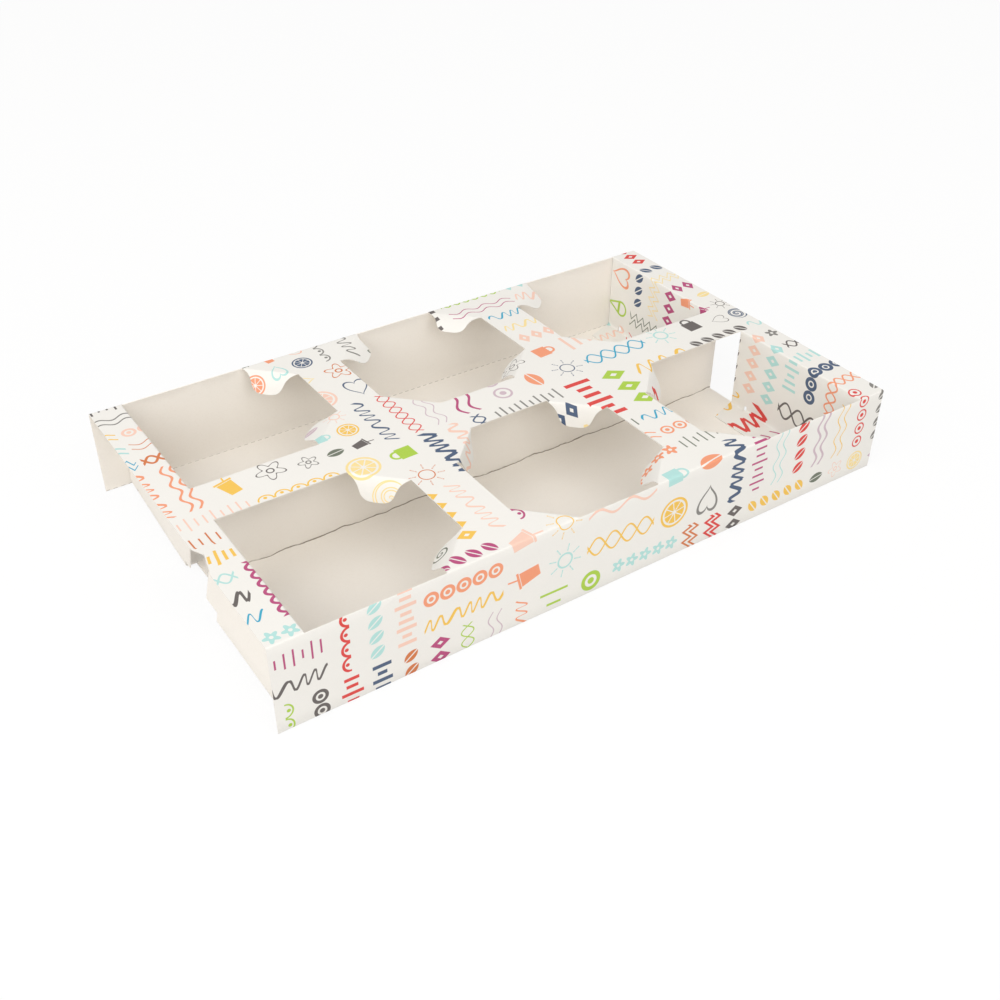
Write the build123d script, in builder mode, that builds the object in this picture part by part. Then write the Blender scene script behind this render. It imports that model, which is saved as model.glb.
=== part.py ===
from build123d import *
import os
from math import atan2, cos, degrees, radians, sin, sqrt

# Outside size of the erected carrier
length = 340.0
depth = 199.5
height = 46.5

# Folding board, and the radius of its middle line at a crease
board = 0.5
crease_radius = 0.55

# Top deck: two rows of three cup windows
end_band = 16.0
spine_width = 27.0
bridge_width = 24.0
bridge_pitch = 112.0
corner_cut = 21.5

# Partition: a pleat of the bottom panel that stands under the spine
partition_y = 6.0
ply_gap = 0.3
pleat_radius = 0.38
pleat_clearance = 0.4
lap_joint_height = 2.0
glue_lap = 15.0
seam_gap = 0.6

# End flaps, pushed down from the deck, with a foot tucked in over the bottom
bottom_setback = 15.5
flap_clearance = 1.0
flap_root = 2.0
foot_length = 18.0
foot_radius = 1.6
foot_taper = 6.0
lock_slot_width = 2.0
lock_slot_height = 3.5
lock_slot_setback = 11.0

# Tongues at the cut corners of the windows, which steady the cups
tongue_reach = 12.5
tongue_tip_width = 13.6
tongue_neck_width = 20.0
tongue_neck = 3.6
tongue_rounding = 6.0
tongue_shoulder = 0.8
tongue_inset = 2.2
tongue_root = 1.0

# How far the foot of each left or right flap leans out, for the front and back row
flap_lean = {(-1, -1): 8.0, (-1, 1): 2.5, (1, -1): 0.0, (1, 1): 0.0}

# Bend in degrees of the tongues at the spine and at the wall, by bridge, side of the bridge and row
tongue_bend = {
    (-1, -1, -1): (58, 36), (-1, 1, -1): (75, 70), (1, -1, -1): (72, 42), (1, 1, -1): (50, 70),
    (-1, -1, 1): (20, 38), (-1, 1, 1): (70, 22), (1, -1, 1): (33, 15), (1, 1, 1): (70, 20),
}

half_length = length / 2
half_depth = depth / 2
half_board = board / 2
hinge_x = half_length - end_band
deck_middle = height - half_board
crease_length = corner_cut * sqrt(2)


def panel_loop():
    """Middle line of the folded strip, from the bottom's free edge round to the pleat."""
    front_ply = partition_y - half_board
    back_ply = front_ply + board + ply_gap
    pleat_top = deck_middle - board - pleat_clearance
    corners = [
        (back_ply + half_board + seam_gap, half_board),
        (half_depth - half_board, half_board),
        (half_depth - half_board, deck_middle),
        (half_board - half_depth, deck_middle),
        (half_board - half_depth, half_board),
        (front_ply, half_board),
        (front_ply, pleat_top),
        (back_ply, pleat_top),
        (back_ply, lap_joint_height),
    ]
    return corners, [crease_radius] * 5 + [pleat_radius] * 2


def cut_windows():
    """Six cup windows, cut at 45 degrees at their corners beside each bridge."""
    row_depth = half_depth - spine_width / 2
    row_middle = (half_depth + spine_width / 2) / 2
    middle_width = bridge_pitch - bridge_width
    inner_edge = (bridge_pitch + bridge_width) / 2
    end_width = hinge_x - inner_edge
    end_middle = (hinge_x + inner_edge) / 2
    with BuildSketch(Plane.XY.offset(height)) as windows:
        with GridLocations(0, 2 * row_middle, 1, 2):
            Rectangle(middle_width, row_depth)
        chamfer(windows.vertices(), length=corner_cut)
        with GridLocations(2 * end_middle, 2 * row_middle, 2, 2):
            Rectangle(end_width, row_depth)
        beside_bridge = windows.vertices().filter_by(lambda v: bridge_pitch / 2 < abs(v.X) < end_middle)
        chamfer(beside_bridge, length=corner_cut)
    return windows.sketch


def strip(plane, corners, radii, width):
    """A bent strip of board, its middle line drawn on the plane."""
    with BuildPart() as bent:
        with BuildSketch(plane):
            with BuildLine():
                FilletPolyline(*corners, radius=radii)
            trace(line_width=board)
        extrude(amount=width / 2, both=True)
    return bent.part


def end_flap(side, row):
    """A flap hinged on the deck's end band, with its foot folded in over the bottom."""
    near_spine = row * spine_width / 2
    near_wall = row * (half_depth - flap_clearance)
    middle = (near_spine + near_wall) / 2
    foot_x = hinge_x + flap_lean[side, row]
    foot_z = board + half_board
    toe_x = foot_x - foot_length
    corners = [
        (side * (hinge_x + flap_root), deck_middle),
        (side * hinge_x, deck_middle),
        (side * foot_x, foot_z),
        (side * toe_x, foot_z),
    ]
    front_end = min(near_spine, near_wall)
    back_end = max(near_spine, near_wall)
    slot_y = back_end - lock_slot_setback
    slot_z = 2 * board + lock_slot_height / 2
    with BuildPart() as flap:
        add(strip(Plane.XZ.offset(-middle), corners, [crease_radius, foot_radius], back_end - front_end))
        with BuildSketch(Plane.XY) as toe_corners:
            for end, inward in ((front_end, foot_taper), (back_end, -foot_taper)):
                with BuildLine():
                    Polyline(
                        (side * (foot_x - foot_radius), end),
                        (side * toe_x, end),
                        (side * toe_x, end + inward),
                        close=True,
                    )
                make_face()
        extrude(amount=2 * foot_z, mode=Mode.SUBTRACT)
        with BuildSketch(Plane.YZ.offset(side * foot_x)):
            with Locations((slot_y, slot_z)):
                SlotOverall(lock_slot_height, lock_slot_width, rotation=90)
        extrude(amount=2 * lock_slot_height, both=True, mode=Mode.SUBTRACT)
    return flap.part


def tongue(bend):
    """A tongue bent down about the Y axis, its root in the deck behind the crease."""
    angle = radians(bend)
    root = crease_length / 2 - tongue_inset
    face = Plane(origin=(0, 0, 0), x_dir=(0, 1, 0), z_dir=(sin(angle), 0, cos(angle)))
    corners = [
        (-tongue_root, 0),
        (0, 0),
        (tongue_reach * cos(angle), -tongue_reach * sin(angle)),
    ]
    right_side = [
        (tongue_tip_width / 2, -tongue_reach),
        (tongue_neck_width / 2, -tongue_neck),
        (root, -tongue_shoulder),
        (root, 2 * tongue_root),
    ]
    left_side = [(-x, y) for x, y in reversed(right_side)]
    with BuildPart() as bent:
        add(strip(Plane.XZ, corners, crease_radius, 2 * root))
        with BuildSketch(face):
            with BuildLine():
                Polyline(*left_side, *right_side, close=True)
            outline = make_face()
            tip_and_neck = outline.vertices().sort_by(Axis.Y)[:4]
            fillet(tip_and_neck, radius=tongue_rounding)
        extrude(amount=2 * tongue_root, both=True, mode=Mode.INTERSECT)
    return bent.part


# Sleeve: deck, walls, bottom and partition, folded from one strip
with BuildPart() as sleeve:
    corners, radii = panel_loop()
    with BuildSketch(Plane.YZ) as section:
        with BuildLine():
            FilletPolyline(*corners, radius=radii)
        trace(line_width=board)
    extrude(amount=half_length, both=True)
    add(cut_windows())
    extrude(amount=-(crease_radius + half_board), mode=Mode.SUBTRACT)
    with BuildSketch(Plane.XY) as panel_ends:
        with GridLocations(2 * half_length - bottom_setback, 0, 2, 1):
            Rectangle(bottom_setback, depth - 2 * (crease_radius + half_board))
    extrude(amount=height - board - pleat_clearance / 2, mode=Mode.SUBTRACT)

# Glue lap: the back ply's foot, stuck down on the bottom behind the partition
with BuildPart() as lap:
    ply_y = corners[-1][0]
    lap_z = board + half_board
    lap_corners = [(ply_y, corners[-1][1] + board), (ply_y, lap_z), (ply_y + glue_lap, lap_z)]
    add(strip(Plane.YZ, lap_corners, crease_radius, 2 * (half_length - bottom_setback)))

# The whole carrier, one sheet of board
with BuildPart() as carrier:
    add(sleeve.part)
    add(lap.part)
    for side, row in flap_lean:
        add(end_flap(side, row))
    for (bridge, side, row), bends in tongue_bend.items():
        crease_x = bridge * bridge_pitch / 2 + side * (bridge_width + corner_cut) / 2
        spine_y = row * (spine_width + corner_cut) / 2
        wall_y = row * (depth - corner_cut) / 2
        for bend, crease_y, heading in zip(bends, (spine_y, wall_y), (row, -row)):
            turn = degrees(atan2(heading, side))
            with Locations(Location((crease_x, crease_y, deck_middle), (0, 0, turn))):
                add(tongue(bend))

os.makedirs("parts", exist_ok=True)
carrier.part.label = "folded_carrier"
export_step(carrier.part, "parts/folded_carrier.step")
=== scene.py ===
import math
import bmesh
import bpy
from mathutils import Matrix, Vector, noise


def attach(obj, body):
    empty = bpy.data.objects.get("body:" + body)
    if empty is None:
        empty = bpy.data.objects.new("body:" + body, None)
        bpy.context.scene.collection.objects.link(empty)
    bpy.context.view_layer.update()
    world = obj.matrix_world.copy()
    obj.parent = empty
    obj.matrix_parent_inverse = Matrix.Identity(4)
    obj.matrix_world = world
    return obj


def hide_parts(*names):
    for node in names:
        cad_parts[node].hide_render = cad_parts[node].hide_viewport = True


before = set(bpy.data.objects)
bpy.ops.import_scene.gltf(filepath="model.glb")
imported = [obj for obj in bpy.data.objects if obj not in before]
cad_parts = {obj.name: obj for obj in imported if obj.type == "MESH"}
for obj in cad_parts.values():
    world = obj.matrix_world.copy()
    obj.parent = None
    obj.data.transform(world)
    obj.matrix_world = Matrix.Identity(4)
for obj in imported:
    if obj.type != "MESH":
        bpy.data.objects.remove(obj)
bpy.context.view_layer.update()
mm, toMm = 0.001, 1000.0      # the carrier's lengths are in millimetres, the scene is in metres
closeBy = 1e-4                # places that are nearer than this are the same

# the flat sheet that the whole carrier is cut from and folded out of
blank = {
    "halfLength": 170.0,      # deck and walls, along X
    "panelEnd": 154.5,        # bottom and partition stop short of the ends
    "board": 0.5,
    "deckHeight": 46.25,      # middle of the board
    "cell": 7.0,              # spacing of the first grid
    "creaseRadius": 0.55,
    "creaseSteps": 4,         # for each quarter turn
    "sharpAngle": 34.0,       # an edge that turns further than this stays sharp
    "wave": 0.22,             # how far the board wanders out of true
    "waveSize": 55.0,
    "waveSlice": 3.0,
    "ripple": 0.4,            # share of a finer wander on top of it
    "rippleSize": 19.0,
}

# panels of the folded section, from corner to corner; the deck's is half its width
panels = {
    "deck": 99.5,
    "wall": 46.0,
    "frontBottom": 105.25,
    "backBottom": 92.1,
    "ply": 45.1,
    "backPly": 44.6,
    "lap": 15.0,
    "pleatRadius": 0.4,
}

# where the folds fall in the flat blank, from its middle: an arc is shorter than its corner
arcTrim = blank["creaseRadius"] * (1 - math.pi / 4)
halfPleat = math.pi * panels["pleatRadius"] / 2
wallFold = panels["deck"] - arcTrim
footFold = wallFold + panels["wall"] - 2 * arcTrim
pleatFoot = footFold + panels["frontBottom"] - 2 * arcTrim
pleatTop = pleatFoot + panels["ply"] - arcTrim - panels["pleatRadius"] + halfPleat
lapFold = pleatTop + halfPleat + panels["backPly"] - arcTrim - panels["pleatRadius"]
frontEnd = lapFold + panels["lap"]
backEnd = footFold + panels["backBottom"] - arcTrim

# folds across the blank, outermost first: place along Y, turn in degrees, radius
crossFolds = [
    {"at": -lapFold, "turn": 90, "radius": blank["creaseRadius"]},
    {"at": -pleatTop, "turn": -180, "radius": panels["pleatRadius"]},
    {"at": -pleatFoot, "turn": 90, "radius": blank["creaseRadius"]},
    {"at": -footFold, "turn": 90, "radius": blank["creaseRadius"]},
    {"at": -wallFold, "turn": 90, "radius": blank["creaseRadius"]},
    {"at": footFold, "turn": -90, "radius": blank["creaseRadius"]},
    {"at": wallFold, "turn": -90, "radius": blank["creaseRadius"]},
]

windows = {
    "spine": 13.5,            # half the width of the spine between the rows
    "bridge": 12.0,           # half the width of a bridge between two windows
    "pitch": 112.0,
    "hinge": 154.0,           # where the deck's end bands start
    "cornerCut": 21.5,
}
bridgeInner = windows["pitch"] / 2 - windows["bridge"]
bridgeOuter = windows["pitch"] / 2 + windows["bridge"]

# lean, twist and notch go by side and row: -1 is left or front, 1 is right or back
endFlaps = {
    "wallGap": 1.0,
    "drop": 45.5,             # from the deck's middle line to the foot's
    "foot": 18.0,
    "toeTaper": 6.0,
    "taperStop": 1.0,         # the taper ends this far short of the foot's crease
    "footRadius": 1.6,
    "footSteps": 5,
    "hingeSteps": 4,
    "slot": (2.0, 3.5),       # across, and up
    "slotIn": 11.0,           # its middle, from the flap's back edge
    "slotUp": 0.8,            # and above the middle of the foot's crease
    "lean": {(-1, -1): 10.4, (-1, 1): 3.0, (1, -1): 0.0, (1, 1): 0.0},
    "twist": {(-1, 1): 3.5},  # how much further a foot stands out beside the spine
    # out of a foot's corner beside the spine: along the foot, and up
    "notch": {(-1, -1): (12.0, 5.2), (-1, 1): (6.0, 2.8)},
    "cutIn": 30.0,            # middle of what is cut, from the slot
    "cutReach": 90.0,
    "slotReach": 9.0,
    "notchReach": (20.0, 30.0),
}

tongues = {
    "reach": 12.5,
    "rootHalf": 15.1,
    "neck": (9.8, 3.6),       # half width, distance from the crease
    "tipHalf": 6.8,
    "rounding": 5.0,
    "roundSteps": 5,
    "roundShare": 0.48,       # of a side, the most that one rounding takes
    "bendAt": (0.1, 0.3, 0.5, 0.7),
    "curlAt": (3.5, 6.0, 8.5),
    "cutMiddle": 4.0,         # middle of what is cut, from the crease
    "cutReach": 23.0,
    "cutSpare": 5.5,
    # by bridge, side and row: (bend, curl) at the spine, then at the wall
    "bends": {
        (-1, -1, -1): ((58, 6), (36, 4)), (-1, 1, -1): ((75, 0), (70, 4)),
        (1, -1, -1): ((72, 5), (42, 4)), (1, 1, -1): ((50, 4), (70, 0)),
        (-1, -1, 1): ((20, 4), (38, 8)), (-1, 1, 1): ((70, 3), (22, 5)),
        (1, -1, 1): ((33, 6), (15, 6)), (1, 1, 1): ((70, 2), (20, 4)),
    },
}

# what has knocked the left end of the deck, and the extra cuts that let it give way
knock = {
    "at": -36.5,
    "halfWidth": 5.5,
    "inwards": 3.4,
    "upwards": 0.8,
    "cutsAt": (157.0, 160.0, 163.5),
    "cutReach": 22.0,
}

# each face of a flap or a tongue is marked with its own number, from these on
flapMark, tongueMark = 1, 11


# the lines at which a crease is turned, a little at each
def bendLines(centre, turn, radius, steps):
    arc = turn * radius
    return [centre + arc * ((k + 0.5) / steps - 0.5) for k in range(steps)]


def foldLines(fold):
    steps = blank["creaseSteps"] * max(1, abs(fold["turn"]) // 90)
    return bendLines(fold["at"], abs(math.radians(fold["turn"])), fold["radius"], steps)


# a straight cut right through the blank, or only through the faces within reach of a place
def cut(bm, point, across, near=None, reach=0.0):
    faces = bm.faces[:]
    if near is not None:
        faces = [f for f in faces if (f.calc_center_median().xy - near).length < reach]
    parts = set(faces)
    for f in faces:
        parts.update(f.edges)
        parts.update(f.verts)
    bmesh.ops.bisect_plane(bm, geom=list(parts), dist=closeBy / 10,
                           plane_co=(point[0], point[1], 0), plane_no=(across[0], across[1], 0))


def inside(point, sides):
    return all((point - Vector(spot)).dot(Vector(out)) < closeBy for spot, out in sides)


# a window's outline as half planes, in the flat blank
def windowSides(left, right, row, cutLeft, cutRight):
    low, high = sorted((row * windows["spine"], row * wallFold))
    sides = [((left, 0), (-1, 0)), ((right, 0), (1, 0)), ((0, low), (0, -1)), ((0, high), (0, 1))]
    slant = windows["cornerCut"]
    for cutHere, edge, way in ((cutLeft, left, -1), (cutRight, right, 1)):
        if cutHere:
            sides.append(((edge - way * slant, high), (way * math.sqrt(0.5), math.sqrt(0.5))))
            sides.append(((edge - way * slant, low), (way * math.sqrt(0.5), -math.sqrt(0.5))))
    return sides


def windowList():
    found = []
    for row in (-1, 1):
        found.append(windowSides(-bridgeInner, bridgeInner, row, True, True))
        found.append(windowSides(-windows["hinge"], -bridgeOuter, row, False, True))
        found.append(windowSides(bridgeOuter, windows["hinge"], row, True, False))
    return found


# a tongue's outline, as distances along its crease and out from it
def tongueOutline():
    half = [Vector((tongues["tipHalf"], tongues["reach"])), Vector(tongues["neck"]),
            Vector((tongues["rootHalf"], 0.0))]
    corners = [Vector((-p.x, p.y)) for p in reversed(half)] + half
    outline = [corners[0]]
    for before, here, after in zip(corners, corners[1:], corners[2:]):
        start, stop = [here + (other - here).normalized()
                       * min(tongues["rounding"], (other - here).length * tongues["roundShare"])
                       for other in (before, after)]
        for k in range(tongues["roundSteps"] + 1):
            t = k / tongues["roundSteps"]
            outline.append(start * (1 - t) ** 2 + here * (2 * t * (1 - t)) + stop * t ** 2)
    outline.append(corners[-1])
    return outline


# where each tongue starts, which way it points, and its bends
def tongueList():
    found = []
    corner = windows["cornerCut"]
    for (bridge, side, row), (atSpine, atWall) in tongues["bends"].items():
        x = bridge * windows["pitch"] / 2 + side * (windows["bridge"] + corner / 2)
        for (bend, curl), y, way in ((atSpine, row * (windows["spine"] + corner / 2), row),
                                     (atWall, row * (wallFold - corner / 2), -row)):
            heading = Vector((side, way)).normalized()
            found.append({"root": Vector((x, y)), "heading": heading,
                          "along": Vector((-heading.y, heading.x)), "bend": bend, "curl": curl})
    return found


# a point is on a tongue where a line from it crosses the outline an odd number of times
def onTongue(point, tongue, outline):
    away = point - tongue["root"]
    t, d = away.dot(tongue["along"]), away.dot(tongue["heading"])
    within = False
    for p, q in zip(outline, outline[1:] + outline[:1]):
        if (p.y > d) != (q.y > d) and t < p.x + (d - p.y) / (q.y - p.y) * (q.x - p.x):
            within = not within
    return within


# each flap's creases, outline, slot and notch, in the flat blank
def flapList():
    found = []
    for (side, row), lean in endFlaps["lean"].items():
        drop = math.hypot(endFlaps["drop"], lean)
        turn = math.pi / 2 + math.atan2(lean, endFlaps["drop"])
        hingeTrim = blank["creaseRadius"] * (math.tan(turn / 2) - turn / 2)
        footTrim = endFlaps["footRadius"] * (math.tan(turn / 2) - turn / 2)
        hinge = windows["hinge"] - hingeTrim
        foot = hinge - (drop - hingeTrim - footTrim)
        toe = foot - (endFlaps["foot"] - footTrim)
        near = row * windows["spine"]
        far = row * (panels["deck"] + blank["board"] / 2 - endFlaps["wallGap"])
        low, high = sorted((near, far))
        taper = endFlaps["toeTaper"]
        across = Vector((taper, foot - toe - endFlaps["taperStop"])).normalized()
        sides = [((side * toe, 0), (-side, 0)), ((side * windows["hinge"], 0), (side, 0)),
                 ((0, low), (0, -1)), ((0, high), (0, 1)),
                 ((side * toe, high - taper), (-side * across.x, across.y)),
                 ((side * toe, low + taper), (-side * across.x, -across.y))]
        slot = Vector((side * (foot + endFlaps["slotUp"]), high - endFlaps["slotIn"]))
        notch = None
        if (side, row) in endFlaps["notch"]:
            along, up = endFlaps["notch"][side, row]
            notch = Vector((foot + up, windows["spine"] + along))
        found.append({"side": side, "row": row, "hinge": hinge, "foot": foot, "turn": turn,
                      "sides": sides, "slot": slot, "notch": notch})
    return found


def cutBlank():
    bm = bmesh.new()
    width, depth = 2 * blank["halfLength"], frontEnd + backEnd
    bmesh.ops.create_grid(bm, x_segments=round(width / blank["cell"]),
                          y_segments=round(depth / blank["cell"]), size=1.0)
    bmesh.ops.scale(bm, vec=(width / 2, depth / 2, 1), verts=bm.verts)
    bmesh.ops.translate(bm, vec=(0, (backEnd - frontEnd) / 2, 0), verts=bm.verts)
    for fold in crossFolds:
        for y in foldLines(fold):
            cut(bm, (0, y), (0, 1))
    for y in (windows["spine"], wallFold):
        cut(bm, (0, y), (0, 1))
        cut(bm, (0, -y), (0, 1))
    for x in (bridgeInner, bridgeOuter, windows["hinge"], blank["panelEnd"]):
        cut(bm, (x, 0), (1, 0))
        cut(bm, (-x, 0), (1, 0))
    for x in knock["cutsAt"]:
        cut(bm, (-x, 0), (1, 0), Vector((-x, knock["at"])), knock["cutReach"])
    return bm


def cutTongues(bm, cuts, outline):
    for tongue in cuts:
        root, heading, along = tongue["root"], tongue["heading"], tongue["along"]
        near = root + heading * tongues["cutMiddle"]
        for d in (0.0,) + tongues["bendAt"] + tongues["curlAt"]:
            cut(bm, root + heading * d, heading, near, tongues["cutReach"])
        for p, q in zip(outline, outline[1:]):
            start, stop = root + along * p.x + heading * p.y, root + along * q.x + heading * q.y
            run = stop - start
            cut(bm, start, (-run.y, run.x), (start + stop) / 2,
                run.length / 2 + tongues["cutSpare"])


# the lines at which a flap is turned at its hinge and at its foot
def flapLines(flap):
    return (bendLines(flap["hinge"], flap["turn"], blank["creaseRadius"], endFlaps["hingeSteps"]),
            bendLines(flap["foot"], flap["turn"], endFlaps["footRadius"], endFlaps["footSteps"]))


def cutFlaps(bm, cuts):
    acrossHalf, upHalf = endFlaps["slot"][0] / 2, endFlaps["slot"][1] / 2
    for flap in cuts:
        side, slot, notch = flap["side"], flap["slot"], flap["notch"]
        middle = Vector((side * (flap["foot"] + flap["hinge"]) / 2, slot.y - endFlaps["cutIn"]))
        hingeLines, footLines = flapLines(flap)
        for x in hingeLines + footLines:
            cut(bm, (side * x, 0), (1, 0), middle, endFlaps["cutReach"])
        for spot, out in flap["sides"]:
            cut(bm, spot, out, middle, endFlaps["cutReach"])
        for way in (-1, 1):
            cut(bm, (slot.x + way * upHalf, 0), (1, 0), slot, endFlaps["slotReach"])
            cut(bm, (0, slot.y + way * acrossHalf), (0, 1), slot, endFlaps["slotReach"])
        if notch:
            corner = Vector((side * notch.x, flap["row"] * notch.y))
            cut(bm, corner, (1, 0), corner, endFlaps["notchReach"][0])
            cut(bm, corner, (0, 1), corner, endFlaps["notchReach"][1])


def openInFlap(point, flap):
    slot, notch = flap["slot"], flap["notch"]
    inSlot = (abs(point.x - slot.x) < endFlaps["slot"][1] / 2
              and abs(point.y - slot.y) < endFlaps["slot"][0] / 2)
    return inSlot or (notch and abs(point.x) < notch.x and abs(point.y) < notch.y)


# take out what falls in the windows and is neither flap nor tongue, and the ends of the bottom
def punch(bm, holes, tongueCuts, outline, flapCuts):
    owner = bm.faces.layers.int.new("owner")
    waste = []
    for f in bm.faces:
        middle = f.calc_center_median().xy
        kept = not (abs(middle.x) > blank["panelEnd"] and abs(middle.y) > footFold)
        if any(inside(middle, sides) for sides in holes):
            kept = False
            for k, flap in enumerate(flapCuts):
                if inside(middle, flap["sides"]):
                    f[owner] = flapMark + k
                    kept = not openInFlap(middle, flap)
            for k, tongue in enumerate(tongueCuts):
                if onTongue(middle, tongue, outline):
                    f[owner] = tongueMark + k
                    kept = True
        if not kept:
            waste.append(f)
    bmesh.ops.delete(bm, geom=waste, context="FACES")
    # tongues and toes are cut apart where they meet, and flaps are slit from the spine
    slits = []
    for e in bm.edges:
        owners = {f[owner] for f in e.link_faces}
        atSpine = all(abs(abs(v.co.y) - windows["spine"]) < closeBy for v in e.verts)
        flapBeside = len(owners) == 2 and max(owners) < tongueMark
        if len(owners - {0}) == 2 or (flapBeside and atSpine):
            slits.append(e)
    bmesh.ops.split_edges(bm, edges=slits)
    return owner


def turnVerts(bm, verts, spot, axis, angle):
    bmesh.ops.rotate(bm, verts=verts, cent=(spot[0], spot[1], 0),
                     matrix=Matrix.Rotation(angle, 3, axis))


def foldTongues(bm, owner, flat, cuts):
    for k, tongue in enumerate(cuts):
        verts = {v for f in bm.faces if f[owner] == tongueMark + k for v in f.verts}
        depthOf = {v: (flat[v].xy - tongue["root"]).dot(tongue["heading"]) for v in verts}
        axis = Vector((tongue["along"].x, tongue["along"].y, 0))
        turns = [(d, tongue["curl"]) for d in reversed(tongues["curlAt"])]
        turns += [(d, tongue["bend"] / len(tongues["bendAt"])) for d in reversed(tongues["bendAt"])]
        for d, angle in turns:
            beyond = [v for v in verts if depthOf[v] > d + closeBy]
            spot = tongue["root"] + tongue["heading"] * d
            turnVerts(bm, beyond, spot, axis, math.radians(angle))


def foldFlaps(bm, owner, flat, cuts):
    for k, flap in enumerate(cuts):
        side = flap["side"]
        verts = {v for f in bm.faces if f[owner] == flapMark + k for v in f.verts}
        hingeLines, footLines = flapLines(flap)
        for lines, sense in ((footLines, 1), (hingeLines, -1)):
            for x in lines:
                beyond = [v for v in verts if abs(flat[v].x) < x - closeBy]
                angle = side * sense * flap["turn"] / len(lines)
                turnVerts(bm, beyond, (side * x, 0), Vector((0, 1, 0)), angle)
        twist = endFlaps["twist"].get((side, flap["row"]), 0.0)
        for v in verts:
            beside = (panels["deck"] - abs(flat[v].y)) / (panels["deck"] - windows["spine"])
            v.co.x -= side * twist * beside * v.co.z / endFlaps["drop"]


def foldPanels(bm, flat):
    for fold in crossFolds:
        way = 1 if fold["at"] > 0 else -1
        lines = foldLines(fold)
        for y in sorted(lines, key=abs, reverse=True):
            beyond = [v for v in bm.verts if way * flat[v].y > abs(y) + closeBy]
            angle = math.radians(fold["turn"]) / len(lines)
            turnVerts(bm, beyond, (0, y), Vector((1, 0, 0)), angle)


# the board is never quite flat, and the left end of the deck has been knocked
def warp(bm, flat):
    bm.normal_update()
    endBand = blank["halfLength"] - windows["hinge"]
    for v in bm.verts:
        place = flat[v]
        drift = noise.noise(Vector((place.x, place.y, blank["waveSlice"])) / blank["waveSize"])
        drift += blank["ripple"] * noise.noise(place / blank["rippleSize"])
        v.co += v.normal * drift * blank["wave"]
        if place.x < -windows["hinge"] and abs(place.y) < wallFold:
            hit = math.exp(-((place.y - knock["at"]) / knock["halfWidth"]) ** 2)
            hit *= (-windows["hinge"] - place.x) / endBand
            v.co.x += knock["inwards"] * hit
            v.co.z += knock["upwards"] * hit


def buildCarrier():
    bm = cutBlank()
    tongueCuts, outline, flapCuts = tongueList(), tongueOutline(), flapList()
    cutFlaps(bm, flapCuts)
    cutTongues(bm, tongueCuts, outline)
    owner = punch(bm, windowList(), tongueCuts, outline, flapCuts)
    print("blank cut:", len(bm.faces), "faces")
    flat = {v: v.co.copy() for v in bm.verts}
    uv = bm.loops.layers.uv.new("Blank")      # the print follows the flat blank, in metres
    for f in bm.faces:
        f.smooth = True
        for loop in f.loops:
            loop[uv].uv = flat[loop.vert].xy * mm
    foldTongues(bm, owner, flat, tongueCuts)
    foldFlaps(bm, owner, flat, flapCuts)
    foldPanels(bm, flat)
    warp(bm, flat)
    bm.faces.layers.int.remove(owner)
    bmesh.ops.translate(bm, vec=(0, 0, blank["deckHeight"]), verts=bm.verts)
    bmesh.ops.scale(bm, vec=(mm, mm, mm), verts=bm.verts)
    mesh = bpy.data.meshes.new("carrierBoard")
    bm.to_mesh(mesh)
    bm.free()
    return mesh


# printed face outside, plain face inside, and a raw cut edge all round
def thicken(mesh):
    thin = bpy.data.objects.new("thinBoard", mesh)
    bpy.context.scene.collection.objects.link(thin)
    thick = thin.modifiers.new("boardThickness", "SOLIDIFY")
    thick.thickness = blank["board"] * mm
    thick.offset = 0.0
    thick.use_quality_normals = True
    thick.material_offset = 1
    thick.material_offset_rim = 2
    for _ in range(3):                        # a slot for each look
        mesh.materials.append(None)
    depsgraph = bpy.context.evaluated_depsgraph_get()
    solid = bpy.data.meshes.new_from_object(thin.evaluated_get(depsgraph))
    bpy.data.objects.remove(thin)
    solid.set_sharp_from_angle(angle=math.radians(blank["sharpAngle"]))
    return solid


carrier = bpy.data.objects.new("carrierBoard", thicken(buildCarrier()))
bpy.context.scene.collection.objects.link(carrier)
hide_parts("folded_carrier")
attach(carrier, "root")
print("carrier folded")


class Wire:                                   # a socket that takes part in sums
    def __init__(self, shade, socket):
        self.shade, self.socket = shade, socket

    def __add__(self, other):
        return self.shade.math("ADD", self, other)

    def __sub__(self, other):
        return self.shade.math("SUBTRACT", self, other)

    def __rsub__(self, other):
        return self.shade.math("SUBTRACT", other, self)

    def __mul__(self, other):
        return self.shade.math("MULTIPLY", self, other)

    def __truediv__(self, other):
        return self.shade.math("DIVIDE", self, other)

    def __rtruediv__(self, other):
        return self.shade.math("DIVIDE", other, self)

    def __abs__(self):
        return self.shade.math("ABSOLUTE", self)

    def __gt__(self, other):
        return self.shade.math("GREATER_THAN", self, other)

    def __lt__(self, other):
        return self.shade.math("LESS_THAN", self, other)

    __radd__, __rmul__ = __add__, __mul__


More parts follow.
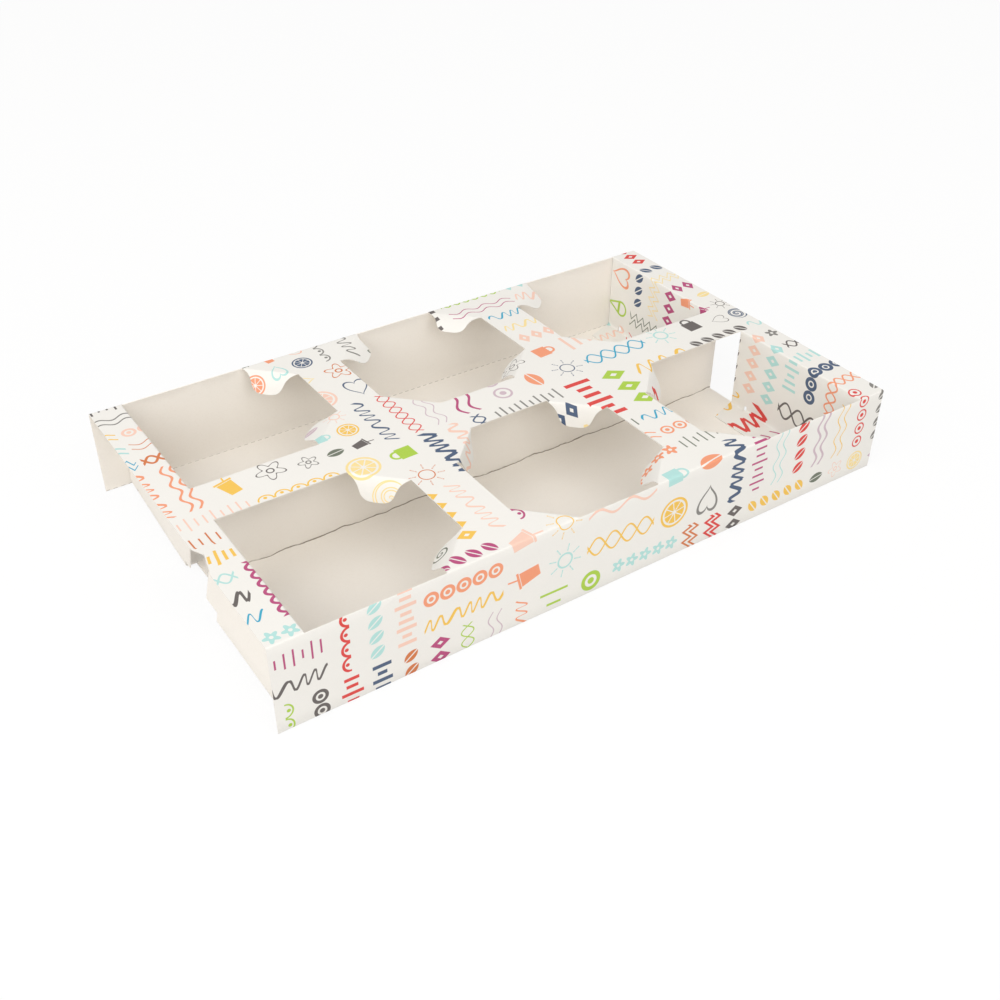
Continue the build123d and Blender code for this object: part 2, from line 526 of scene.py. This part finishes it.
class Shade:                                  # one material's nodes
    def __init__(self, name):
        self.material = bpy.data.materials.new(name)
        self.material.use_nodes = True
        self.tree = self.material.node_tree
        self.tree.nodes.clear()

    # a node of any type, with its settings first and then its sockets' values or links
    def node(self, kind, settings=None, sockets=None):
        made = self.tree.nodes.new(kind)
        for key, value in (settings or {}).items():
            if key == "stops":
                ramp = made.color_ramp
                while len(ramp.elements) < len(value):
                    ramp.elements.new(1.0)
                for element, (place, colour) in zip(ramp.elements, value):
                    element.position = place
                    element.color = colour
            elif key == "interpolation":
                made.color_ramp.interpolation = value
            else:
                setattr(made, key, value)
        for key, value in (sockets or {}).items():
            if isinstance(value, Wire):
                self.tree.links.new(value.socket, made.inputs[key])
            else:
                made.inputs[key].default_value = value
        return made

    def wire(self, made, output=0):
        return Wire(self, made.outputs[output])

    def math(self, operation, *values):
        made = self.node("ShaderNodeMath", {"operation": operation}, dict(enumerate(values)))
        return self.wire(made)

    def clamp(self, value):
        return self.wire(self.node("ShaderNodeClamp", None, {0: value}))

    def parts(self, vector):
        made = self.node("ShaderNodeSeparateXYZ", None, {0: vector})
        return [self.wire(made, k) for k in range(3)]

    def vector(self, x, y, z=0.0):
        return self.wire(self.node("ShaderNodeCombineXYZ", None, {0: x, 1: y, 2: z}))

    def mixColour(self, factor, first, second):
        sockets = {"Factor": factor, 6: first, 7: second}
        return self.wire(self.node("ShaderNodeMix", {"data_type": "RGBA"}, sockets), 2)

    def mixValue(self, factor, first, second):
        sockets = {0: factor, 2: first, 3: second}
        return self.wire(self.node("ShaderNodeMix", {"data_type": "FLOAT"}, sockets))

    def choose(self, which, values):          # one of several, by a number from 0 to 1
        chosen = values[0]
        for k, value in enumerate(values[1:], 1):
            chosen = self.mixValue(which > k / len(values), chosen, value)
        return chosen

    def least(self, first, *others):
        for other in others:
            first = self.math("MINIMUM", first, other)
        return first

    def most(self, first, *others):
        for other in others:
            first = self.math("MAXIMUM", first, other)
        return first

    def length(self, x, y):
        return self.math("SQRT", x * x + y * y)

    def steps(self, value, stops):            # a colour for each range of the value
        settings = {"interpolation": "CONSTANT", "stops": stops}
        return self.wire(self.node("ShaderNodeValToRGB", settings, {0: value}))

    def scatter(self, x, y, seed):            # for each whole x and y one throw, and three more
        made = self.node("ShaderNodeTexWhiteNoise", None, {"Vector": self.vector(x, y, seed)})
        return self.wire(made), self.wire(made, 1)

    def noise(self, place, scale, detail=3.0, rough=0.5):
        return self.wire(self.node("ShaderNodeTexNoise", None, {
            "Vector": place, "Scale": scale, "Detail": detail, "Roughness": rough}))

    def place(self):
        return self.wire(self.node("ShaderNodeTexCoord"), "Object")

    def blankPlace(self):                     # along and across the flat blank, in millimetres
        along, across, _ = self.parts(self.wire(self.node("ShaderNodeUVMap", {"uv_map": "Blank"})))
        return along * toMm, across * toMm

    # board with its fibres raised, and duller or glossier where a noise says
    def finish(self, look, colour, dulled, fibre):
        raised = self.node("ShaderNodeBump", None, {
            "Height": fibre, "Strength": look["bump"], "Distance": look["bumpHeight"] * mm})
        roughness = look["roughness"] + (dulled - 0.5) * look["roughnessSpread"]
        self.output(self.node("ShaderNodeBsdfPrincipled", None, {
            "Base Color": colour, "Roughness": roughness, "Normal": self.wire(raised),
            "Specular IOR Level": look["specular"]}))
        return self.material

    def output(self, shader):
        self.node("ShaderNodeOutputMaterial", None, {0: self.wire(shader)})


def shown(red, green, blue):                  # a colour as seen on screen, made linear
    return (*(((c / 255 + 0.055) / 1.055) ** 2.4 for c in (red, green, blue)), 1.0)


# lengths in millimetres, on the flat blank
printLook = {
    "offset": (431.0, 718.0),
    "cell": 42.0,
    "shift": 0.37,            # each row of cells starts this much further on
    "softEdge": 0.16,         # over which the ink fades out
    # how a cell is divided: from which throw on, into how many columns and rows
    "splits": ((0.0, 1, 3), (0.29, 3, 1), (0.58, 2, 2), (0.75, 1, 2), (0.84, 2, 1), (0.92, 3, 3)),
    "margin": 0.16,           # bare board at the ends of a row, in half widths of the row
    "perWidth": 1.6,          # beads in each width of the row
    "weight": (0.055, 0.09),  # thinnest line, and what is added up to the thickest
    "tilt": (0.05, 0.5),      # how far a row turns in all, and what is added for a picture
    "seeds": (4.7, 9.1),      # for how the cells are divided, and for what they show
    "inks": ((235, 150, 112), (32, 160, 194), (166, 200, 62), (128, 126, 122), (214, 60, 56),
             (236, 190, 78), (172, 216, 212), (66, 86, 116), (200, 178, 188), (178, 66, 118),
             (206, 116, 62), (238, 198, 180), (104, 112, 96), (240, 216, 150), (96, 90, 88),
             (235, 150, 112)),
}


# every motif is a distance to its edge, below zero inside it: a runs along the row and b across
# it, in half widths of the row, and near runs along from the middle of each bead
def beadMotifs(s, near, b, weight):
    radius = s.length(near, b)
    angle = s.math("ARCTAN2", b, near)
    targets = s.least(abs(radius - 0.42) - weight, radius - 0.17)
    lean, rise = near * 0.8 + b * 0.6, b * 0.8 - near * 0.6
    leaves = s.most(s.length(lean - 0.3, rise) - 0.66, s.length(lean + 0.3, rise) - 0.66,
                    0.045 - abs(lean))
    lozenge = abs(near) * 1.5 + abs(b)
    lozenges = s.most(lozenge - 0.72, 0.22 - lozenge) * 0.6
    blossoms = s.most(radius - (s.math("COSINE", angle * 5) * 0.13 + 0.42), 0.13 - radius)
    arches = s.most(abs(s.length(near, b + 0.35) - 0.52) - weight, -0.35 - b)
    scallops = s.least(arches, s.length(near, b + 0.1) - 0.13)
    return targets, leaves, lozenges, blossoms, scallops


# lines that run through from one end of the row to the other; which gives each its own rhythm
def waveMotifs(s, a, b, which, weight):
    slanted = a - b * 0.28
    phase = slanted * 7.0 + s.math("SINE", slanted * 1.9 + which * 300) * 1.3
    swing = s.math("COSINE", phase)
    scrawl = abs(b - s.math("SINE", phase) * 0.4) / s.math("SQRT", swing * swing * 8 + 1)
    scrawl = scrawl - weight - swing * 0.03
    wave, swell = s.math("SINE", a * 3.6), s.math("COSINE", a * 3.6)
    flatter = s.math("SQRT", swell * swell * 2.6 + 1)
    chain = s.least(abs(b - wave * 0.45), abs(b + wave * 0.45)) / flatter - weight * 0.8
    ribbon = abs(abs(b - wave * 0.2) - 0.32) - weight * 0.8
    zigzag = b - s.math("PINGPONG", slanted * 1.6, 0.7) + 0.35
    peaks = abs(abs(zigzag) - 0.3) * 0.53 - weight * 0.7
    return scrawl, chain, ribbon, peaks


def strokeRow(s, a, b, end, which, weight):
    room = end - printLook["margin"]
    pitch = room * 2 / s.math("ROUND", room * printLook["perWidth"])
    run = (a + room) / pitch
    near = (run - s.math("FLOOR", run) - 0.5) * pitch
    post = s.math("FLOOR", run * 2)
    tall = s.math("SINE", post * 2.3 + which * 90) * 0.2 + 0.52
    pickets = s.most(abs(run * 2 - post - 0.5) * pitch * 0.5 - weight, abs(b) - tall)
    targets, leaves, lozenges, blossoms, scallops = beadMotifs(s, near, b, weight)
    scrawl, chain, ribbon, peaks = waveMotifs(s, a, b, which, weight)
    row = s.choose(which, [scrawl, targets, peaks, leaves, chain, pickets, scrawl, lozenges, ribbon,
                           blossoms, scallops])
    return s.most(row, abs(a) - room)


# small drinks, fruit and sweets, solid or in outline
def picture(s, a, b, which, outlined, weight):
    radius = s.length(a, b)
    angle = s.math("ARCTAN2", b, a)
    cup = s.most(abs(a) - (b * 0.1 + 0.36), abs(b + 0.22) - 0.48)
    lid = s.most(abs(a) - 0.46, abs(b - 0.35) - 0.06)
    straw = s.most(abs(a - b * 0.3 + 0.02) - 0.045, abs(b - 0.62) - 0.24)
    drink = s.least(cup, lid, straw)
    slices = s.most(radius - 0.56, 0.1 - abs(s.math("SINE", angle * 4)) * radius)
    wheel = s.least(slices, abs(radius - 0.72) - 0.06)
    lobe = b + 0.12 - s.math("SQRT", abs(a)) * 0.72
    heart = s.length(a, lobe) - 0.56
    leaf = s.most(s.length(a - 0.42, b) - 0.8, s.length(a + 0.42, b) - 0.8, 0.035 - abs(a))
    turns = abs(s.math("FRACT", radius * 2.6 + angle / (2 * math.pi)) - 0.5) * 0.38 - 0.06
    coil = s.most(turns, radius - 0.78)
    flower = s.most(radius - (s.math("COSINE", angle * 5) * 0.17 + 0.52), 0.16 - radius)
    body = s.most(abs(a + 0.12) - 0.4, abs(b) - 0.42)
    mug = s.least(body, abs(s.length(a - 0.34, b) - 0.26) - 0.06)
    cone = s.most(abs(a) - (b + 0.82) * 0.42, b - 0.02)
    scoop = s.most(s.length(a, b - 0.26) - 0.42, 0.08 - b)
    rays = s.most(abs(s.math("SINE", angle * 4)) * radius - 0.07, abs(radius - 0.66) - 0.14)
    sun = s.least(radius - 0.36, rays)
    cornet = s.least(cone, scoop)
    shape = s.choose(which, [drink, wheel, leaf, mug, coil, heart, cornet, flower, sun])
    return s.mixValue(outlined, shape, abs(shape) - weight * 0.5)


# a grid of divided cells, each with a row of strokes or a small picture in one ink
def printMask(s, x, y):
    cell = printLook["cell"]
    row = s.math("FLOOR", y / cell)
    gridX, gridY = x / cell + row * printLook["shift"], y / cell
    column = s.math("FLOOR", gridX)
    throw, _ = s.scatter(column, row, printLook["seeds"][0])
    # the ramp gives quarters of the numbers of columns and rows, because it stops at 1
    splits = [(start, (columns / 4, rows / 4, 0, 1))
              for start, columns, rows in printLook["splits"]]
    columns, rows, _ = s.parts(s.steps(throw, splits))
    columns, rows = s.math("ROUND", columns * 4), s.math("ROUND", rows * 4)
    inX, inY = (gridX - column) * columns, (gridY - row) * rows
    subX, subY = s.math("FLOOR", inX), s.math("FLOOR", inY)
    halfX, halfY = (cell / 2) / columns, (cell / 2) / rows
    # a cell is at most three by three
    which, throws = s.scatter(column * 3 + subX, row * 3 + subY, printLook["seeds"][1])
    first, second, third = s.parts(throws)

    square = abs(columns - rows) < 0.5
    upright = s.most(columns > rows + 0.5, square * (second > 0.5))
    rowTilt, pictureTilt = printLook["tilt"]
    turn = upright * (math.pi / 2) + (third > 0.5) * math.pi
    turn = turn + (first - 0.5) * (square * pictureTilt + rowTilt)
    place = s.vector((inX - subX - 0.5) * halfX * 2, (inY - subY - 0.5) * halfY * 2)
    turned = s.node("ShaderNodeVectorRotate", {"rotation_type": "Z_AXIS"},
                    {"Vector": place, "Angle": turn})
    half = s.least(halfX, halfY)
    lengthwise, across, _ = s.parts(s.wire(turned))
    a, b = lengthwise / half, across / half
    thinnest, spread = printLook["weight"]
    weight = third * third * spread + thinnest
    shape = s.mixValue(square, strokeRow(s, a, b, s.most(halfX, halfY) / half, which, weight),
                       picture(s, a, b, which, first > 0.5, weight))
    mask = s.clamp(0.5 - shape * half / printLook["softEdge"])
    inks = [(k / len(printLook["inks"]), shown(*ink)) for k, ink in enumerate(printLook["inks"])]
    return mask, s.steps(second, inks)


# the board's own colour: slow clouds, and fibres over them
def boardFace(s, look):
    cloud = s.noise(s.place(), look["cloudScale"])
    fibre = s.noise(s.place(), look["fibreScale"], look["fibreDetail"], look["fibreRough"])
    base = s.mixColour(s.clamp(cloud * look["cloudShare"]), look["board"], look["cloud"])
    shows = s.clamp((fibre - look["fibreFrom"]) * look["fibreShare"])
    return cloud, fibre, s.mixColour(shows, base, look["fibre"])


printedLook = {
    "board": shown(230, 228, 223),
    "cloud": shown(238, 236, 231),
    "cloudScale": 22.0,
    "cloudShare": 0.5,
    "fibre": shown(243, 239, 232),
    "fibreScale": 1600.0,
    "fibreDetail": 3.0,
    "fibreRough": 0.6,
    "fibreFrom": 0.42,        # only higher fibres show
    "fibreShare": 0.5,
    "ink": 0.98,
    "wornFrom": 0.6,          # higher fibres lose their ink
    "worn": 0.7,
    "roughness": 0.62,
    "roughnessSpread": 0.12,
    "specular": 0.35,
    "bump": 0.12,
    "bumpHeight": 0.2,
}


def printedBoard():
    s = Shade("printedBoard")
    x, y = s.blankPlace()
    mask, ink = printMask(s, x + printLook["offset"][0], y + printLook["offset"][1])
    cloud, fibre, base = boardFace(s, printedLook)
    worn = s.clamp((fibre - printedLook["wornFrom"]) * printedLook["worn"])
    colour = s.mixColour(mask * (printedLook["ink"] - worn), base, ink)
    return s.finish(printedLook, colour, cloud, fibre)


plainLook = {
    "board": shown(243, 239, 232),
    "cloud": shown(237, 231, 223),
    "cloudScale": 16.0,
    "cloudShare": 0.6,
    "fibre": shown(228, 221, 211),
    "fibreScale": 900.0,
    "fibreDetail": 4.0,
    "fibreRough": 0.65,
    "fibreFrom": 0.5,
    "fibreShare": 0.9,
    # colour of the painted shadow in the gaps and slits along the folds
    "gapShadowColour": shown(128, 117, 101),
    # painted shadow: the broken dark line of the gap along the partition's foot
    "gapShadow": {"half": 0.42, "dark": 1.3, "wander": 6.72, "wanderScale": 55.0,
             "gapScale": 90.0, "gapEdge": 4.0, "gap": 0.9},
    # painted shadow of the slits in the cut crease along the foot of the back wall
    "slitShadows": {"half": 0.3, "dark": 1.2, "pitch": 4.0, "gap": 0.45, "share": 0.6},
    "roughness": 0.8,
    "roughnessSpread": 0.15,
    "specular": 0.25,
    "bump": 0.18,
    "bumpHeight": 0.2,
}


def plainBoard():
    s = Shade("plainBoard")
    x, y = s.blankPlace()
    _, fibre, base = boardFace(s, plainLook)
    gapShadow, slitShadows = plainLook["gapShadow"], plainLook["slitShadows"]
    wander = (s.noise(s.place(), gapShadow["wanderScale"]) - 0.5) * gapShadow["wander"]
    # painted shadow: a wavy, broken dark line where the partition's ply meets the bottom
    line = s.clamp(gapShadow["dark"] - abs(y + pleatFoot + wander) / gapShadow["half"])
    there = s.clamp(s.noise(s.place(), gapShadow["gapScale"]) * gapShadow["gapEdge"] - gapShadow["gap"])
    colour = s.mixColour(line * there, base, plainLook["gapShadowColour"])
    # painted shadow: dark dashes along the back wall's foot, where the slits of its cut crease
    # would be
    line = s.clamp(slitShadows["dark"] - abs(y - footFold) / slitShadows["half"])
    there = s.math("FRACT", x / slitShadows["pitch"]) > slitShadows["gap"]
    colour = s.mixColour(line * there * slitShadows["share"], colour, plainLook["gapShadowColour"])
    return s.finish(plainLook, colour, fibre, fibre)


edgeLook = {
    "board": shown(243, 240, 236),
    "fibre": shown(228, 223, 214),
    "fibreScale": 2600.0,
    "fibreRough": 0.6,
    "roughness": 0.85,
    "roughnessSpread": 0.1,
    "specular": 0.5,
    "bump": 0.3,
    "bumpHeight": 0.2,
}


def cutEdge():
    s = Shade("cutEdge")
    fibre = s.noise(s.place(), edgeLook["fibreScale"], rough=edgeLook["fibreRough"])
    colour = s.mixColour(fibre, edgeLook["board"], edgeLook["fibre"])
    return s.finish(edgeLook, colour, fibre, fibre)


for k, look in enumerate((printedBoard(), plainBoard(), cutEdge())):
    carrier.data.materials[k] = look
print("board shaded")

# in metres and watts
studio = {
    "white": (1, 1, 1, 1),
    "floorSize": 3.0,
    "floorWhite": (0.9, 0.9, 0.9, 1),
    "floorBounce": (0.68, 0.68, 0.68, 1),     # what the floor sends back up on the carrier
    "floorGlow": 0.88,
    "worldColour": (1.0, 0.99, 0.98, 1),
    "worldStrength": 0.65,
    # name, where it hangs and its power; each looks at the middle of the carrier
    "softboxes": (("frontSoftbox", (-0.2, -1.6, 1.1), 11.0), ("topSoftbox", (0.0, -0.1, 1.9), 5.0),
                  ("leftSoftbox", (-1.5, -0.6, 1.2), 17.0)),
    "boxSize": 1.5,
    "boxColour": (1.0, 0.985, 0.965),
}


# plain paper that glows white to the camera and in gloss, and keeps the carrier's shadow
def studioFloor():
    mesh = bpy.data.meshes.new("studioFloor")
    bm = bmesh.new()
    bmesh.ops.create_grid(bm, x_segments=1, y_segments=1, size=studio["floorSize"])
    bm.to_mesh(mesh)
    bm.free()
    floor = bpy.data.objects.new("studioFloor", mesh)
    bpy.context.scene.collection.objects.link(floor)
    s = Shade("studioFloor")
    seen = s.node("ShaderNodeLightPath")
    direct = s.most(s.wire(seen, "Is Camera Ray"), s.wire(seen, "Is Glossy Ray"))
    tone = s.mixColour(direct, studio["floorBounce"], studio["floorWhite"])
    paper = s.node("ShaderNodeBsdfDiffuse", None, {"Color": tone})
    glow = s.node("ShaderNodeEmission", None, {"Color": studio["white"], "Strength": 1.0})
    s.output(s.node("ShaderNodeMixShader", None,
                    {0: direct * studio["floorGlow"], 1: s.wire(paper), 2: s.wire(glow)}))
    floor.data.materials.append(s.material)


# the world lights softly, and is white where the camera sees it
def studioWorld():
    world = bpy.data.worlds.new("studioWorld")
    bpy.context.scene.world = world
    world.use_nodes = True
    tree = world.node_tree
    tree.nodes.clear()
    both = tree.nodes.new("ShaderNodeMixShader")
    seen = tree.nodes.new("ShaderNodeLightPath")
    tree.links.new(seen.outputs["Is Camera Ray"], both.inputs[0])
    skies = ((studio["worldColour"], studio["worldStrength"]), (studio["white"], 1.0))
    for k, (colour, strength) in enumerate(skies, 1):
        sky = tree.nodes.new("ShaderNodeBackground")
        sky.inputs["Color"].default_value = colour
        sky.inputs["Strength"].default_value = strength
        tree.links.new(sky.outputs[0], both.inputs[k])
    output = tree.nodes.new("ShaderNodeOutputWorld")
    tree.links.new(both.outputs[0], output.inputs[0])


def studioLight():
    for name, spot, power in studio["softboxes"]:
        lamp = bpy.data.lights.new(name, "AREA")
        lamp.energy = power
        lamp.size = studio["boxSize"]
        lamp.color = studio["boxColour"]
        light = bpy.data.objects.new(name, lamp)
        bpy.context.scene.collection.objects.link(light)
        light.location = spot
        light.rotation_euler = (-Vector(spot)).to_track_quat("-Z", "Y").to_euler()


shot = {
    "spot": (-0.28641, -0.42518, 0.36115),    # metres
    "turn": (53.8235, -0.3190, -34.1323),     # degrees
    "lens": 43.635,                           # millimetres, as the sensor
    "sensor": 36.0,
    "clipStart": 0.01,
}


def shotCamera():
    data = bpy.data.cameras.new("shotCamera")
    data.lens = shot["lens"]
    data.sensor_width = shot["sensor"]
    data.clip_start = shot["clipStart"]
    camera = bpy.data.objects.new("shotCamera", data)
    bpy.context.scene.collection.objects.link(camera)
    camera.location = shot["spot"]
    camera.rotation_euler = [math.radians(angle) for angle in shot["turn"]]
    bpy.context.scene.camera = camera


studioFloor()
studioWorld()
studioLight()
shotCamera()
bpy.context.scene.view_settings.view_transform = "Standard"
print("studio set")
